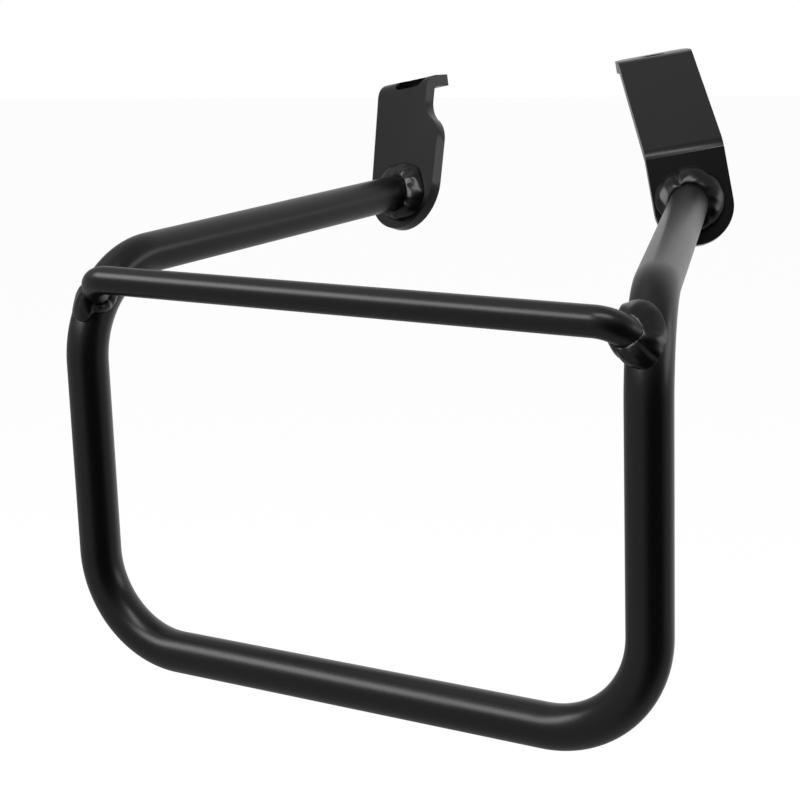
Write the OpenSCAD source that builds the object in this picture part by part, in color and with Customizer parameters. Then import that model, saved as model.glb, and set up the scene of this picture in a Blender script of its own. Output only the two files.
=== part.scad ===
// Side case rack: a bent tube loop with a crossbar, welded to two bracket plates
// that bolt it to a motorbike frame.
// X runs along the bottom rail, Z is up, +Y runs from the loop towards the bike.
// The origin is the middle of the bottom rail's centre line.

/* [Loop] */
// Outside diameter of the loop tube
tube_diameter = 18; // [15:0.5:21]
// Wall thickness of the loop tube
tube_wall = 2; // [1:0.25:3]
// Distance between the two bottom corners, centre line to centre line
rail_length = 260.4; // [220:0.2:320]
// Length of the left leg, corner to corner on the centre line
left_leg_length = 166.8; // [150:0.2:200]
// Length of the right leg, corner to corner on the centre line
right_leg_length = 165.6; // [150:0.2:200]
// Angle of the left bottom corner
left_corner_turn = 90; // [89:0.1:92]
// Angle of the right bottom corner
right_corner_turn = 90.6; // [89:0.1:92]
// Centre line radius of the left shoulder bend
left_shoulder_radius = 43.2; // [36:0.2:48]
// Centre line radius of the left bottom corner
left_corner_radius = 41.5; // [30:0.2:55]
// Centre line radius of the right bottom corner
right_corner_radius = 42.7; // [30:0.2:55]
// Centre line radius of the right shoulder bend
right_shoulder_radius = 39.2; // [36:0.2:48]

/* [Arms] */
// Length of the left arm from its shoulder corner to its bracket
left_arm_length = 231.7; // [160:0.1:300]
// Angle of the left shoulder bend
left_shoulder_turn = 87.04; // [82:0.01:90]
// Angle the left arm turns in towards the middle
left_arm_toe = 6.33; // [0:0.01:15]
// Length of the right arm from its shoulder corner to its bracket
right_arm_length = 207; // [160:0.1:260]
// Angle of the right shoulder bend
right_shoulder_turn = 85.55; // [82:0.01:90]
// Angle the right arm turns in towards the middle
right_arm_toe = 16.49; // [5:0.01:22]

/* [Crossbar] */
// Diameter of the solid crossbar
bar_diameter = 12; // [9:0.5:14]
// How far the crossbar stands in front of the loop's plane
bar_forward = 8.8; // [7:0.1:11]
// How far the crossbar's middle lies below the shoulder corners
bar_drop = 3.8; // [2:0.1:6]
// Angle the crossbar falls towards the right, past the line through the shoulders
bar_fall = 0.63; // [0:0.01:1.2]
// Distance from each shoulder to where the straight of the crossbar ends
bar_end_setback = 19.4; // [17:0.1:22]
// How far the crossbar sits to the right of the middle
bar_side_shift = 2; // [-1:0.1:3]
// Centre line radius of the bend at each end of the crossbar
bar_bend_radius = 12; // [10:0.5:15]
// Angle each end of the crossbar is bent back
bar_bend_angle = 57; // [48:1:64]
// Angle the bent ends point down
bar_end_tilt = 38; // [30:1:45]

/* [Left bracket] */
// Thickness of both bracket plates
plate_thickness = 6; // [4:0.25:8]
// Turn of the left plate about the vertical
left_plate_turn = 19; // [12:0.1:26]
// Lean of the left plate's top away from the loop
left_plate_lean = 17.9; // [12:0.1:24]
// Roll of the left plate in its own plane
left_plate_roll = 9; // [0:0.1:16]
// Radius of the left plate's round bottom
left_round_radius = 24; // [20:0.5:28]
// Height of the round bottom's centre above the arm
left_round_height = 3.8; // [0:0.1:8]
// How far the round bottom's centre lies to the right of the arm
left_round_side = -0.5; // [-3:0.1:3]
// Slant of the left plate's outer edge
left_edge_slant = 2.7; // [0:0.1:5]
// Height on the right edge where the plate starts to narrow
neck_start_height = 26; // [22:0.5:30]
// Height where the plate has narrowed down to its neck
neck_end_height = 50; // [46:0.5:54]
// Distance from the arm to the right side of the neck
neck_side = 11.5; // [9:0.5:15]
// Height of the fold line start above the arm
left_fold_height = 56; // [55:0.5:64]
// Inside radius of the left plate's fold
left_fold_radius = 2.5; // [1:0.25:5]
// Angle of the left plate's fold
left_fold_angle = 72.1; // [60:0.1:80]
// Length of the tab behind the left fold
left_tab_length = 8.5; // [6:0.5:14]
// Length of the slot in the left fold, end to end
slot_length = 22; // [16:0.5:26]
// Width of the slot in the left fold
slot_width = 9.5; // [6:0.25:10]
// Side offset of the slot's middle from the arm
slot_side = -4.2; // [-6:0.1:-3]
// Angle on the fold at which the slot is cut
slot_angle = 44; // [38:1:50]

/* [Right bracket] */
// Turn of the right plate about the vertical
right_plate_turn = 25.6; // [18:0.1:32]
// Lean of the right plate's foot away from the loop
right_plate_lean = 14.5; // [8:0.1:20]
// Roll of the right plate in its own plane
right_plate_roll = 9.2; // [0:0.1:16]
// Width of the right plate
right_plate_width = 36.9; // [35:0.1:44]
// How far the right plate's middle lies to the right of the arm
right_plate_side = 1.55; // [-1:0.05:3]
// How far the round foot's centre lies below the arm
right_foot_drop = 2.3; // [0:0.1:6]
// Height above the arm where the lower fold starts
lower_fold_height = 22.5; // [20:0.5:30]
// Angle of the lower fold
lower_fold_angle = 43.3; // [30:0.1:50]
// Flat length of the leaning panel between its folds
panel_length = 73.5; // [50:0.5:110]
// Angle of the upper fold
upper_fold_angle = 31.6; // [20:0.1:45]
// Inside radius of the right plate's folds
right_fold_radius = 1.5; // [1:0.25:4]
// Length of the tab behind the upper fold
right_tab_length = 23; // [20:0.5:34]
// Radius of the tab's two free corners
right_tab_corner = 8; // [4:0.5:10]
// Diameter of the bolt hole in the right tab
bolt_hole_diameter = 12; // [8:0.5:13]
// Distance of the bolt hole's centre behind the end of the upper fold
bolt_hole_setback = 6; // [5:0.25:11]
// Side offset of the bolt hole's centre from the arm
bolt_hole_side = 1.4; // [0:0.1:3]

/* [Welds] */
// Width of the bracket welds on the plates
plate_weld_leg = 7.3; // [5:0.1:8]
// Width of the bracket welds along the tube
tube_weld_leg = 7; // [5:0.1:9]
// Width of the crossbar welds around the bar
bar_weld_spread = 5.5; // [4:0.1:7]
// Length of the crossbar welds along the bar
bar_weld_leg = 6; // [4:0.1:7]
// Radius of the barrel shape that the crossbar welds follow across the loop tube
bar_weld_barrel = 9.6; // [9.2:0.1:11]
// How far that barrel's middle lies towards the crossbar
bar_weld_lift = 5; // [3:0.1:6]
// Radius of the welds' rounded faces as a share of the width across them
weld_roundness = 0.66; // [0.6:0.01:0.7]

/* [Hidden] */
$fn = 36;
tube_r = tube_diameter / 2;
bar_r = bar_diameter / 2;
half_rail = rail_length / 2;
cut_size = 120;
// Bends come out this much slimmer on every side than the straights that run into them
seam = 0.05;
// How far a straight or a flat runs into the bend beside it
lap = 0.3;
black = [0.05, 0.05, 0.055];
weld_black = [0.09, 0.09, 0.095];

function unit(v) = v / norm(v);

// Directions of a leg and its arm; side is 1 on the right and -1 on the left
function leg_run(side, turn) = [side * cos(turn), 0, sin(turn)];
function inward(side, turn) = [-side * sin(turn), 0, cos(turn)];
function arm_run(side, turn, shoulder, toe) =
    cos(shoulder) * leg_run(side, turn)
    + sin(shoulder) * (cos(toe) * [0, 1, 0] + sin(toe) * inward(side, turn));

left_leg_run = leg_run(-1, left_corner_turn);
right_leg_run = leg_run(1, right_corner_turn);
left_arm_run = arm_run(-1, left_corner_turn, left_shoulder_turn, left_arm_toe);
right_arm_run = arm_run(1, right_corner_turn, right_shoulder_turn, right_arm_toe);

// Shoulder corners and the points where the arms meet the plates
left_shoulder = [-half_rail, 0, 0] + left_leg_length * left_leg_run;
right_shoulder = [half_rail, 0, 0] + right_leg_length * right_leg_run;
left_foot = left_shoulder + left_arm_length * left_arm_run;
right_foot = right_shoulder + right_arm_length * right_arm_run;
arm_overrun = 14;

function tangent_length(turn, radius) = radius * tan(turn / 2);

// Centre and axis of a shoulder bend
function bend_centre(corner, leg, arm, turn, radius) =
    corner + unit(arm - leg) * radius / cos(turn / 2);
function bend_axis(leg, arm) = unit(cross(leg, arm));

// Distance from a point to the centre line of a bend
function off_bend(s, c, z, radius) =
    norm([norm((s - c) - ((s - c) * z) * z) - radius, (s - c) * z]);

// How far along a line from s in direction d the tube's surface is met
function reach(s, d, c, z, radius, low, high, steps) =
    steps == 0 ? (low + high) / 2
    : off_bend(s + d * (low + high) / 2, c, z, radius) > tube_r
        ? reach(s, d, c, z, radius, (low + high) / 2, high, steps - 1)
        : reach(s, d, c, z, radius, low, (low + high) / 2, steps - 1);

// The crossbar's straight and its bent ends
bar_middle = [(left_shoulder[0] + right_shoulder[0]) / 2 + bar_side_shift, -bar_forward,
    (left_shoulder[2] + right_shoulder[2]) / 2 - bar_drop];
bar_half = norm(right_shoulder - left_shoulder) / 2 - bar_end_setback;
bar_slope = bar_fall
    + atan2(left_shoulder[2] - right_shoulder[2], right_shoulder[0] - left_shoulder[0]);
bar_run = [cos(bar_slope), 0, -sin(bar_slope)];
bar_back = [-sin(bar_end_tilt) * sin(bar_slope), cos(bar_end_tilt),
    -sin(bar_end_tilt) * cos(bar_slope)];
stub_length = 18;

// Where a bent end of the crossbar turns straight again, and its direction there
function stub_start(run) =
    bar_middle + bar_half * run
    + bar_bend_radius * (sin(bar_bend_angle) * run + (1 - cos(bar_bend_angle)) * bar_back);
function stub_run(run) = cos(bar_bend_angle) * run + sin(bar_bend_angle) * bar_back;

left_bend_centre = bend_centre(left_shoulder, left_leg_run, left_arm_run,
    left_shoulder_turn, left_shoulder_radius);
left_bend_axis = bend_axis(left_leg_run, left_arm_run);
right_bend_centre = bend_centre(right_shoulder, right_leg_run, right_arm_run,
    right_shoulder_turn, right_shoulder_radius);
right_bend_axis = bend_axis(right_leg_run, right_arm_run);
left_hit = reach(stub_start(-bar_run), stub_run(-bar_run), left_bend_centre, left_bend_axis,
    left_shoulder_radius, 0, stub_length, 24);
right_hit = reach(stub_start(bar_run), stub_run(bar_run), right_bend_centre, right_bend_axis,
    right_shoulder_radius, 0, stub_length, 24);

// Children drawn with x, y and z as the axes and c as the origin
module placed(x, y, z, c) {
    multmatrix([
        [x[0], y[0], z[0], c[0]],
        [x[1], y[1], z[1], c[1]],
        [x[2], y[2], z[2], c[2]],
        [0, 0, 0, 1]])
        children();
}

// A round bend that starts up z and turns towards y
module elbow(radius, turn, r) {
    placed([0, -1, 0], [0, 0, 1], [-1, 0, 0], [0, radius, 0])
        rotate_extrude(angle = turn)
            translate([radius, 0])
                circle(r = r - seam);
}

// A round straight up z
module straight(length, r) {
    translate([0, 0, -lap])
        cylinder(r = r, h = length + 2 * lap);
}

// The frame at the end of such a bend
module past_elbow(radius, turn) {
    translate([0, radius, 0])
        rotate([-turn, 0, 0])
            translate([0, -radius, 0])
                children();
}

// The plane of each bracket plate: x across, y behind the front face, z up the plate
module left_plate_frame() {
    translate(left_foot)
        rotate([0, 0, -left_plate_turn])
            rotate([-left_plate_lean, 0, 0])
                rotate([0, -left_plate_roll, 0])
                    children();
}

module right_plate_frame() {
    translate(right_foot)
        rotate([0, 0, right_plate_turn])
            rotate([-right_plate_lean, 0, 0])
                rotate([0, -right_plate_roll, 0])
                    children();
}

// Everything behind a plate's front face
module behind_plate() {
    translate([-cut_size / 2, 0, -cut_size / 2])
        cube([cut_size, cut_size, cut_size]);
}

// The frames where the bottom rail's straight ends, z out along the rail and y up
module left_rail_end() {
    translate([-half_rail + tangent_length(left_corner_turn, left_corner_radius), 0, 0])
        rotate([0, -90, 0])
            rotate([0, 0, -90])
                children();
}

module right_rail_end() {
    translate([half_rail - tangent_length(right_corner_turn, right_corner_radius), 0, 0])
        rotate([0, 90, 0])
            rotate([0, 0, 90])
                children();
}

// The frames where each leg's straight starts
module left_leg_start() {
    left_rail_end()
        past_elbow(left_corner_radius, left_corner_turn)
            children();
}

module right_leg_start() {
    right_rail_end()
        past_elbow(right_corner_radius, right_corner_turn)
            children();
}

// A leg, its shoulder bend and its arm, as solid rounds
module leg_and_arm(leg, radius, turn, twist, arm, r) {
    straight(leg, r);
    translate([0, 0, leg])
        rotate([0, 0, twist]) {
            elbow(radius, turn, r);
            past_elbow(radius, turn)
                straight(arm, r);
        }
}

module left_leg_and_arm(r) {
    shoulder_tangent = tangent_length(left_shoulder_turn, left_shoulder_radius);
    left_leg_start()
        leg_and_arm(
            left_leg_length - shoulder_tangent
                - tangent_length(left_corner_turn, left_corner_radius),
            left_shoulder_radius, left_shoulder_turn, 90 - left_arm_toe,
            left_arm_length + arm_overrun - shoulder_tangent, r);
}

module right_leg_and_arm(r) {
    shoulder_tangent = tangent_length(right_shoulder_turn, right_shoulder_radius);
    right_leg_start()
        leg_and_arm(
            right_leg_length - shoulder_tangent
                - tangent_length(right_corner_turn, right_corner_radius),
            right_shoulder_radius, right_shoulder_turn, right_arm_toe - 90,
            right_arm_length + arm_overrun - shoulder_tangent, r);
}

// The whole bent tube as a solid round
module whole_loop(r) {
    straight_rail = rail_length - tangent_length(left_corner_turn, left_corner_radius)
        - tangent_length(right_corner_turn, right_corner_radius);
    left_rail_end()
        translate([0, 0, -straight_rail])
            straight(straight_rail, r);
    left_rail_end()
        elbow(left_corner_radius, left_corner_turn, r);
    right_rail_end()
        elbow(right_corner_radius, right_corner_turn, r);
    left_leg_and_arm(r);
    right_leg_and_arm(r);
}

module main_tube() {
    color(black)
        difference() {
            union() whole_loop(tube_r);
            union() whole_loop(tube_r - tube_wall);
            left_plate_frame() behind_plate();
            right_plate_frame() behind_plate();
        }
}

// The crossbar's own frame: z along its straight, y the way its ends are bent
module bar_frame(side) {
    translate(bar_middle)
        rotate([0, bar_slope, 0])
            rotate([-bar_end_tilt, 0, 0])
                rotate([0, 90 * side, 0])
                    children();
}

module whole_bar() {
    bar_frame(1)
        translate([0, 0, -bar_half])
            straight(2 * bar_half, bar_r);
    for (side = [-1, 1])
        bar_frame(side)
            translate([0, 0, bar_half]) {
                elbow(bar_bend_radius, bar_bend_angle, bar_r);
                past_elbow(bar_bend_radius, bar_bend_angle)
                    straight((side > 0 ? right_hit : left_hit) + tube_r, bar_r);
            }
}

module crossbar() {
    color(black)
        difference() {
            union() whole_bar();
            left_leg_and_arm(tube_r);
            right_leg_and_arm(tube_r);
        }
}

// A flat outline stood up in a plate frame and given the plate's thickness
module plate_sheet() {
    translate([0, plate_thickness, 0])
        rotate([90, 0, 0])
            linear_extrude(height = plate_thickness)
                children();
}

// A fold about the x axis that starts at height up and turns back by an angle
module fold(up, inside, turn, low, high) {
    translate([0, 0, up])
        placed([0, -1, 0], [0, 0, 1], [-1, 0, 0], [0, inside + plate_thickness, 0])
            rotate_extrude(angle = turn)
                translate([inside + seam, seam - high])
                    square([plate_thickness - 2 * seam, high - low - 2 * seam]);
}

// The frame at the end of such a fold
module past_fold(up, inside, turn) {
    translate([0, 0, up])
        past_elbow(inside + plate_thickness, turn)
            children();
}

// The left plate's flat: round bottom, slanting outer edge and a narrowed neck
module left_outline() {
    left_x = left_round_side - left_round_radius;
    right_x = left_round_side + left_round_radius;
    narrowing = right_x - neck_side;
    rise = neck_end_height - neck_start_height;
    flank = (narrowing * narrowing + rise * rise) / (4 * narrowing);
    difference() {
        union() {
            translate([left_round_side, left_round_height])
                circle(r = left_round_radius);
            polygon([
                [left_x, left_round_height],
                [right_x, left_round_height],
                [right_x, neck_start_height],
                [right_x - narrowing / 2, neck_start_height + rise / 2],
                [neck_side, neck_end_height],
                [neck_side, left_fold_height + lap],
                [left_x - left_edge_slant, left_fold_height + lap]]);
            intersection() {
                translate([right_x - flank, neck_start_height])
                    circle(r = flank);
                translate([right_x - narrowing / 2 - flank / 2, neck_start_height])
                    square([narrowing / 2 + flank / 2, rise / 2]);
            }
        }
        intersection() {
            translate([neck_side + flank, neck_end_height])
                circle(r = flank);
            translate([neck_side, neck_start_height + rise / 2])
                square([narrowing, rise / 2]);
        }
    }
}

// The slot's tool: two round ends joined by a block, along y of the fold's cut
module slot_tool() {
    run = slot_length - slot_width;
    for (side = [-run / 2, run / 2])
        translate([side, 0, 0])
            cylinder(d = slot_width, h = cut_size / 3);
    translate([-run / 2, -slot_width / 2, 0])
        cube([run, slot_width, cut_size / 3]);
}

module left_bracket() {
    edge_x = left_round_side - left_round_radius - left_edge_slant;
    outside = left_fold_radius + plate_thickness;
    color(black)
        left_plate_frame()
            difference() {
                union() {
                    plate_sheet() left_outline();
                    fold(left_fold_height, left_fold_radius, left_fold_angle, edge_x, neck_side);
                    past_fold(left_fold_height, left_fold_radius, left_fold_angle)
                        translate([edge_x, 0, -lap])
                            cube([neck_side - edge_x, plate_thickness, left_tab_length + lap]);
                }
                translate([slot_side, outside, left_fold_height])
                    rotate([90 - slot_angle, 0, 0])
                        slot_tool();
            }
}

// The right plate's upright foot
module right_foot_outline() {
    half = right_plate_width / 2;
    translate([right_plate_side, -right_foot_drop])
        circle(r = half);
    translate([right_plate_side - half, -right_foot_drop])
        square([right_plate_width, lower_fold_height + right_foot_drop + lap]);
}

// The frames above the two folds of the right plate
module panel_frame() {
    past_fold(lower_fold_height, right_fold_radius, lower_fold_angle)
        children();
}

module tab_frame() {
    panel_frame()
        past_fold(panel_length, right_fold_radius, upper_fold_angle)
            children();
}

module right_tab_outline() {
    low = right_plate_side - right_plate_width / 2;
    translate([low, -lap])
        square([right_plate_width, right_tab_length - right_tab_corner + lap]);
    translate([low + right_tab_corner, -lap])
        square([right_plate_width - 2 * right_tab_corner, right_tab_length + lap]);
    for (side = [low + right_tab_corner, low + right_plate_width - right_tab_corner])
        translate([side, right_tab_length - right_tab_corner])
            circle(r = right_tab_corner);
}

module right_bracket() {
    low = right_plate_side - right_plate_width / 2;
    high = right_plate_side + right_plate_width / 2;
    color(black)
        right_plate_frame()
            difference() {
                union() {
                    plate_sheet() right_foot_outline();
                    fold(lower_fold_height, right_fold_radius, lower_fold_angle, low, high);
                    panel_frame() {
                        translate([low, 0, -lap])
                            cube([right_plate_width, plate_thickness, panel_length + 2 * lap]);
                        fold(panel_length, right_fold_radius, upper_fold_angle, low, high);
                    }
                    tab_frame()
                        plate_sheet() right_tab_outline();
                }
                tab_frame()
                    translate([bolt_hole_side, cut_size / 6, bolt_hole_setback])
                        rotate([90, 0, 0])
                            cylinder(d = bolt_hole_diameter, h = cut_size / 3);
            }
}

// A weld's rounded face: an arc from root wide and leg high to toe wide at its foot
module weld_section(root, leg, toe, depth) {
    chord = norm([toe - root, leg]);
    crown = weld_roundness * chord;
    deep = sqrt(crown * crown - chord * chord / 4);
    intersection() {
        translate([(root + toe) / 2 - deep * leg / chord, leg / 2 - deep * (toe - root) / chord])
            circle(r = crown);
        translate([root / 2, -depth])
            square([3 * toe, depth + 3 * leg]);
    }
}

// The ring of weld between an arm and a plate, in the plate's frame
module plate_weld() {
    rotate([90, 0, 0])
        rotate_extrude()
            weld_section(tube_r, tube_weld_leg, tube_r + plate_weld_leg, 0);
}

module left_bracket_weld() {
    color(weld_black)
        difference() {
            left_plate_frame() plate_weld();
            left_leg_and_arm(tube_r);
        }
}

module right_bracket_weld() {
    color(weld_black)
        difference() {
            right_plate_frame() plate_weld();
            right_leg_and_arm(tube_r);
        }
}

// The collar of weld round one end of the crossbar, before tube and bar are taken out
module bar_weld(side, hit, centre, axis, radius) {
    touch = stub_start(side * bar_run) + hit * stub_run(side * bar_run);
    flat = (touch - centre) - ((touch - centre) * axis) * axis;
    middle = centre + radius * unit(flat);
    raised = middle + bar_weld_lift * unit(touch - middle);
    along = cross(axis, unit(flat));
    across = unit(cross(along, raised - middle));
    intersection() {
        bar_frame(side)
            translate([0, 0, bar_half])
                past_elbow(bar_bend_radius, bar_bend_angle)
                    translate([0, 0, hit])
                        rotate([180, 0, 0])
                            rotate_extrude()
                                weld_section(bar_r, bar_weld_leg, bar_r + bar_weld_spread,
                                    tube_r);
        placed(across, cross(along, across), along, raised - cut_size / 4 * along)
            cylinder(r = bar_weld_barrel, h = cut_size / 2);
    }
}

module left_crossbar_weld() {
    color(weld_black)
        difference() {
            bar_weld(-1, left_hit, left_bend_centre, left_bend_axis, left_shoulder_radius);
            left_leg_and_arm(tube_r);
            whole_bar();
        }
}

module right_crossbar_weld() {
    color(weld_black)
        difference() {
            bar_weld(1, right_hit, right_bend_centre, right_bend_axis, right_shoulder_radius);
            right_leg_and_arm(tube_r);
            whole_bar();
        }
}

main_tube();
crossbar();
left_bracket();
right_bracket();
left_bracket_weld();
right_bracket_weld();
left_crossbar_weld();
right_crossbar_weld();
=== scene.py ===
"""Studio scene of a side case rack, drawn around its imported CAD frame.

The rack is one bent tube with a crossbar and two folded bracket plates, welded
together and powder coated black. Tube, crossbar and weld beads are drawn here as
fine meshes that stand for the plainer CAD nodes; the bracket plates are the CAD
nodes themselves with softened edges. All local sizes are in millimetres.
"""

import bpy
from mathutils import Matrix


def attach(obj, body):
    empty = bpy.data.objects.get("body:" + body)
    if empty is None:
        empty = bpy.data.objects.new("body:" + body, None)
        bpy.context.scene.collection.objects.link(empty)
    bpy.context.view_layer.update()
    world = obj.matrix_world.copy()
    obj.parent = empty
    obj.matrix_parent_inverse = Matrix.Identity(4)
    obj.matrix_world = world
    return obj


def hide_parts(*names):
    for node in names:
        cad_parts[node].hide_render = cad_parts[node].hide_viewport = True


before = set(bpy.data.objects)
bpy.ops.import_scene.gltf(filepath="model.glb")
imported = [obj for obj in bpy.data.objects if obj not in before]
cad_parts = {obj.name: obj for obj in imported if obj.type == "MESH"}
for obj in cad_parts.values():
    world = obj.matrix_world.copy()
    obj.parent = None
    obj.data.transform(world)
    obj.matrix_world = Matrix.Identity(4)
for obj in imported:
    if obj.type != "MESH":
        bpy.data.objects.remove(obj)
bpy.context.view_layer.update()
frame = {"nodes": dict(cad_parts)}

import logging
import math
from dataclasses import dataclass, field
from typing import Sequence

import bpy
import numpy as np
from mathutils import Matrix, Vector

LOG = logging.getLogger("side_case_rack")
MM = 0.001


def unit(v: np.ndarray) -> np.ndarray:
    """Scale a vector, or each row of an array of vectors, to length one.

    Args:
        v: One vector or an array whose last axis is a vector.

    Returns:
        The same directions with length one.
    """
    return v / np.linalg.norm(v, axis=-1, keepdims=True)


def turn_matrix(axis: str, degrees: float) -> np.ndarray:
    """Rotation matrix about one axis.

    Args:
        axis: "X", "Y" or "Z".
        degrees: Angle by the right-hand rule.

    Returns:
        A 3 by 3 rotation matrix.
    """
    return np.array(Matrix.Rotation(math.radians(degrees), 3, axis))


# --------------------------------------------------------------------- frames


@dataclass(frozen=True)
class Placement:
    """A local frame in the row's frame.

    Attributes:
        origin: The frame's origin in millimetres.
        axes: Columns are the frame's x, y and z axes.
    """

    origin: np.ndarray = field(default_factory=lambda: np.zeros(3))
    axes: np.ndarray = field(default_factory=lambda: np.eye(3))

    def at(self, *local: float) -> np.ndarray:
        """Place one local point.

        Args:
            local: The point's x, y and z.

        Returns:
            The point in the row's frame.
        """
        return self.origin + self.axes @ np.array(local, float)

    def moved(self, *local: float) -> "Placement":
        """Shift the frame by a local offset.

        Args:
            local: The offset's x, y and z.

        Returns:
            The shifted frame.
        """
        return Placement(self.at(*local), self.axes)

    def turned(self, axis: str, degrees: float) -> "Placement":
        """Turn the frame about one of its own axes.

        Args:
            axis: "X", "Y" or "Z".
            degrees: Angle by the right-hand rule.

        Returns:
            The turned frame.
        """
        return Placement(self.origin, self.axes @ turn_matrix(axis, degrees))

    def past_bend(self, radius: float, degrees: float) -> "Placement":
        """Follow a bend that leaves along z and turns towards y.

        Args:
            radius: Centre line radius.
            degrees: Angle of the bend.

        Returns:
            The frame at the bend's end.
        """
        return self.moved(0, radius, 0).turned("X", -degrees).moved(0, -radius, 0)


# ---------------------------------------------------------------------- sizes


@dataclass(frozen=True)
class SideSpec:
    """Sizes of one side of the loop: its corner, leg, shoulder and arm.

    Attributes:
        side: 1 for the right side and -1 for the left.
        corner_radius: Centre line radius of the bottom corner.
        corner_turn: Angle of the bottom corner.
        leg_length: Leg from corner to corner.
        shoulder_radius: Centre line radius of the shoulder bend.
        shoulder_turn: Angle of the shoulder bend.
        arm_length: Arm from its shoulder corner to its plate.
        arm_toe: Angle the arm turns in towards the middle.
    """

    side: int
    corner_radius: float
    corner_turn: float
    leg_length: float
    shoulder_radius: float
    shoulder_turn: float
    arm_length: float
    arm_toe: float

    @property
    def corner_tangent(self) -> float:
        """Distance from the bottom corner to where its bend starts."""
        return self.corner_radius * math.tan(math.radians(self.corner_turn / 2))

    @property
    def shoulder_tangent(self) -> float:
        """Distance from the shoulder corner to where its bend starts."""
        return self.shoulder_radius * math.tan(math.radians(self.shoulder_turn / 2))

    def rail_end(self, half_rail: float) -> Placement:
        """Frame where the bottom rail's straight ends.

        Args:
            half_rail: Half the rail's length from corner to corner.

        Returns:
            A frame with z out along the rail and y up.
        """
        start = Placement().moved(self.side * (half_rail - self.corner_tangent), 0, 0)
        return start.turned("Y", 90 * self.side).turned("Z", 90 * self.side)

    def shoulder_start(self, half_rail: float) -> Placement:
        """Frame at the top of the leg's straight, with y towards the arm.

        Args:
            half_rail: Half the rail's length from corner to corner.

        Returns:
            A frame with z up the leg and y level along the arm.
        """
        leg = self.leg_length - self.corner_tangent - self.shoulder_tangent
        base = self.rail_end(half_rail).past_bend(self.corner_radius, self.corner_turn)
        return base.moved(0, 0, leg).turned("Z", self.side * (self.arm_toe - 90))

    def arm_end(self, half_rail: float) -> Placement:
        """Frame where the arm's axis meets its plate, with z along the arm.

        Args:
            half_rail: Half the rail's length from corner to corner.

        Returns:
            The frame at the plate.
        """
        top = self.shoulder_start(half_rail).past_bend(self.shoulder_radius, self.shoulder_turn)
        return top.moved(0, 0, self.arm_length - self.shoulder_tangent)


@dataclass(frozen=True)
class BarSpec:
    """Sizes of the crossbar.

    Attributes:
        radius: Radius of the solid bar.
        forward: How far it stands in front of the loop.
        drop: How far its middle lies below the shoulder corners.
        fall: Angle it falls towards the right, past the line through the shoulders.
        end_setback: Distance from a shoulder to the end of its straight.
        side_shift: How far it sits to the right.
        bend_radius: Centre line radius of its end bends.
        bend_angle: Angle of its end bends.
        end_tilt: Angle its bent ends point down.
    """

    radius: float = 6.0
    forward: float = 8.8
    drop: float = 3.8
    fall: float = 0.63
    end_setback: float = 19.4
    side_shift: float = 2.0
    bend_radius: float = 12.0
    bend_angle: float = 57.0
    end_tilt: float = 38.0


@dataclass(frozen=True)
class PlateSpec:
    """How one bracket plate stands at the end of its arm.

    Attributes:
        turn: Turn about the vertical, positive to the right.
        lean: Lean of its top away from the loop.
        roll: Roll in its own plane.
    """

    turn: float
    lean: float
    roll: float

    def placed_at(self, foot: np.ndarray) -> Placement:
        """Frame of the plate's front face.

        Args:
            foot: Where the arm's axis meets the front face.

        Returns:
            A frame with x across, y behind the face and z up the plate.
        """
        base = Placement(foot).turned("Z", self.turn)
        return base.turned("X", -self.lean).turned("Y", -self.roll)


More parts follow.
